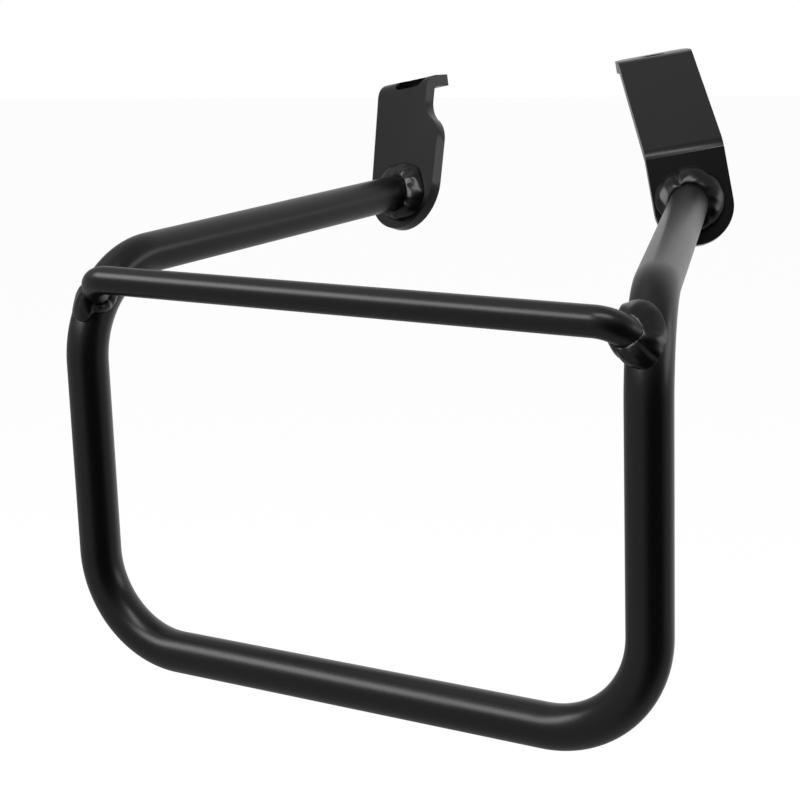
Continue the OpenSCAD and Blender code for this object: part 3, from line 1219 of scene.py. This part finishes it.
class StudioGlow:
    """How bright the surround is each way, as the paint sees it.

    Attributes:
        LEVEL: Strength where no patch is.
        BRIGHT: Patches that add to it: the backdrop and the ceiling on the left.
        DARK: The patch that hides all the rest: the room behind the camera.
    """

    LEVEL = 0.33
    BRIGHT = (
        Patch(way=(0.0, 0.98, 0.17), start=0.5, full=0.95, gain=0.5),
        Patch(way=(-0.5, 0.0, 0.866), start=0.88, full=0.99, gain=0.25),
    )
    DARK = Patch(way=(0.745, -0.645, -0.17), start=0.5, full=0.92, gain=-1.0)

    def __init__(self) -> None:
        """Make the node group, with a direction in and a grey level out."""
        self.group = bpy.data.node_groups.new("StudioGlow", "ShaderNodeTree")
        face = self.group.interface
        face.new_socket("Direction", in_out="INPUT", socket_type="NodeSocketVector")
        face.new_socket("Glow", in_out="OUTPUT", socket_type="NodeSocketFloat")
        self.nodes = NodeTree(self.group)
        self.entry = self.nodes.add("NodeGroupInput")
        leave = self.nodes.add("NodeGroupOutput")
        glow = self.masked(self.BRIGHT[0], self.LEVEL)
        for patch in self.BRIGHT[1:]:
            more = self.nodes.add("ShaderNodeMath", operation="ADD")
            self.nodes.link(glow.outputs[0], more.inputs[0])
            self.nodes.link(self.masked(patch, 0.0).outputs[0], more.inputs[1])
            glow = more
        shaded = self.nodes.add("ShaderNodeMath", operation="MULTIPLY")
        self.nodes.link(glow.outputs[0], shaded.inputs[0])
        self.nodes.link(self.masked(self.DARK, 1.0).outputs[0], shaded.inputs[1])
        self.nodes.link(shaded.outputs[0], leave.inputs["Glow"])

    def masked(self, patch: Patch, plus: float) -> bpy.types.Node:
        """Add the nodes for one patch.

        Args:
            patch: The patch.
            plus: What its gain is added to.

        Returns:
            The node that puts the sum out.
        """
        nodes = self.nodes
        dot = nodes.add("ShaderNodeVectorMath", operation="DOT_PRODUCT")
        nodes.link(self.entry.outputs["Direction"], dot.inputs[0])
        dot.inputs[1].default_value = patch.way
        ramp = nodes.add("ShaderNodeMapRange", interpolation_type="SMOOTHSTEP")
        ramp.inputs["From Min"].default_value = patch.start
        ramp.inputs["From Max"].default_value = patch.full
        nodes.link(dot.outputs["Value"], ramp.inputs["Value"])
        scaled = nodes.add("ShaderNodeMath", operation="MULTIPLY_ADD")
        nodes.link(ramp.outputs["Result"], scaled.inputs[0])
        scaled.inputs[1].default_value = patch.gain
        scaled.inputs[2].default_value = plus
        return scaled

    def lit(self, nodes: NodeTree, way: bpy.types.NodeSocket, kind: str) -> bpy.types.Node:
        """Add a light shader that follows the glow.

        Args:
            nodes: The floor's or the world's nodes.
            way: The direction that is looked in.
            kind: Type name of an emission or background node.

        Returns:
            The shader.
        """
        glow = nodes.add("ShaderNodeGroup", node_tree=self.group)
        nodes.link(way, glow.inputs["Direction"])
        shader = nodes.white(kind, 1.0)
        nodes.link(glow.outputs["Glow"], shader.inputs["Color"])
        return shader


class Studio:
    """Camera, floor, white surround and softboxes.

    Attributes:
        CAMERA_AT: Where the camera stands, in metres.
        RIGHT: The camera's way to the right.
        DOWN: The camera's way down.
        FORWARD: The way the camera looks.
        LENS: Focal length in millimetres.
        SENSOR: Width of the sensor in millimetres.
        CLIP: Nearest and farthest distance seen.
        FLOOR_Z: Height of the floor.
        FLOOR_HALF: Half the floor's width.
        FLOOR_COLOUR: The floor's grey level.
        FLOOR_ROUGHNESS: The floor's roughness.
        FLOOR_WHITE: Strength of the floor's own white, which the camera alone sees.
        FLOOR_SHARE: Share of that white; the rest shows light and shadow.
        AIM: Point that the softboxes look at.
        LIGHTS: The softboxes.
    """

    CAMERA_AT = (0.34513, -0.54169, 0.26254)
    RIGHT = (0.86448, 0.50191, -0.02750)
    DOWN = (0.08566, -0.20099, -0.97584)
    FORWARD = (-0.49531, 0.84124, -0.21675)
    LENS = 74.826
    SENSOR = 36.0
    CLIP = (0.01, 50.0)
    FLOOR_Z = -0.30
    FLOOR_HALF = 12.0
    FLOOR_COLOUR = 0.9
    FLOOR_ROUGHNESS = 0.9
    FLOOR_WHITE = 1.08
    FLOOR_SHARE = 0.85
    AIM = Vector((0.0, 0.05, 0.12))
    LIGHTS: tuple[Softbox, ...] = (
        Softbox("front_softbox", at=(-0.75, -0.88, 0.99), size=(1.4, 0.52), watts=11.0),
        Softbox("top_softbox", at=(0.34, -0.64, 1.41), size=(0.9, 0.34), watts=5.5),
        Softbox("right_softbox", at=(1.3, 0.65, 0.48), size=(0.9, 0.5), watts=2.4),
    )

    def __init__(self) -> None:
        """Make the glow that the world and the floor share."""
        self.glow = StudioGlow()

    def camera(self) -> None:
        """Place the camera where the photograph's stood."""
        data = bpy.data.cameras.new("camera")
        data.lens = self.LENS
        data.sensor_width = self.SENSOR
        data.clip_start, data.clip_end = self.CLIP
        camera = bpy.data.objects.new("camera", data)
        columns = (self.RIGHT, [-c for c in self.DOWN], [-c for c in self.FORWARD])
        turn = Matrix([[c[row] for c in columns] for row in range(3)]).to_4x4()
        camera.matrix_world = Matrix.Translation(self.CAMERA_AT) @ turn
        bpy.context.scene.collection.objects.link(camera)
        bpy.context.scene.camera = camera

    def floor_material(self) -> bpy.types.Material:
        """Make the floor white to the camera and as dim as the surround to the paint.

        Returns:
            The material.
        """
        material = bpy.data.materials.new("floor_white")
        material.use_nodes = True
        nodes = NodeTree(material.node_tree)
        shader = material.node_tree.nodes["Principled BSDF"]
        shader.inputs["Base Color"].default_value = (*(self.FLOOR_COLOUR,) * 3, 1.0)
        shader.inputs["Roughness"].default_value = self.FLOOR_ROUGHNESS
        path = nodes.add("ShaderNodeLightPath")
        share = nodes.add("ShaderNodeMath", operation="MULTIPLY")
        nodes.link(path.outputs["Is Camera Ray"], share.inputs[0])
        share.inputs[1].default_value = self.FLOOR_SHARE
        white = nodes.white("ShaderNodeEmission", self.FLOOR_WHITE)
        seen = nodes.mixed(share.outputs[0], shader, white)
        place = nodes.add("ShaderNodeNewGeometry")
        onward = nodes.add("ShaderNodeVectorMath", operation="SCALE")
        nodes.link(place.outputs["Incoming"], onward.inputs[0])
        onward.inputs["Scale"].default_value = -1.0
        mirrored = self.glow.lit(nodes, onward.outputs[0], "ShaderNodeEmission")
        both = nodes.mixed(path.outputs["Is Glossy Ray"], seen, mirrored)
        output = material.node_tree.nodes["Material Output"]
        nodes.link(both.outputs[0], output.inputs["Surface"])
        return material

    def floor(self) -> None:
        """Lay a plain floor well below the rack."""
        mesh = bpy.data.meshes.new("floor")
        half, z = self.FLOOR_HALF, self.FLOOR_Z
        corners = [(-half, -half, z), (half, -half, z), (half, half, z), (-half, half, z)]
        mesh.from_pydata(corners, [], [(0, 1, 2, 3)])
        mesh.materials.append(self.floor_material())
        floor = bpy.data.objects.new("floor", mesh)
        bpy.context.scene.collection.objects.link(floor)

    def world(self) -> None:
        """Give the camera a white surround and the paint a dimmer one."""
        world = bpy.data.worlds.new("studio")
        world.use_nodes = True
        tree = world.node_tree
        tree.nodes.remove(tree.nodes["Background"])
        nodes = NodeTree(tree)
        place = nodes.add("ShaderNodeTexCoord")
        dim = self.glow.lit(nodes, place.outputs["Generated"], "ShaderNodeBackground")
        white = nodes.white("ShaderNodeBackground", 1.0)
        path = nodes.add("ShaderNodeLightPath")
        both = nodes.mixed(path.outputs["Is Camera Ray"], dim, white)
        nodes.link(both.outputs[0], tree.nodes["World Output"].inputs["Surface"])
        bpy.context.scene.world = world

    def lights(self) -> None:
        """Hang the softboxes."""
        for box in self.LIGHTS:
            data = bpy.data.lights.new(box.name, "AREA")
            data.shape = "RECTANGLE"
            data.size, data.size_y = box.size
            data.energy = box.watts
            light = bpy.data.objects.new(box.name, data)
            light.location = box.at
            look = self.AIM - Vector(box.at)
            light.rotation_euler = look.to_track_quat("-Z", "Y").to_euler()
            light.visible_camera = False
            bpy.context.scene.collection.objects.link(light)

    def build(self) -> None:
        """Set the whole studio up."""
        self.camera()
        self.floor()
        self.world()
        self.lights()
        bpy.context.scene.view_settings.view_transform = "Standard"


def main() -> None:
    """Build the rack and its studio."""
    logging.basicConfig(level=logging.INFO)
    SideCaseRack(RackSpec(), frame["nodes"]).build()
    Studio().build()


if __name__ == "__main__":
    main()
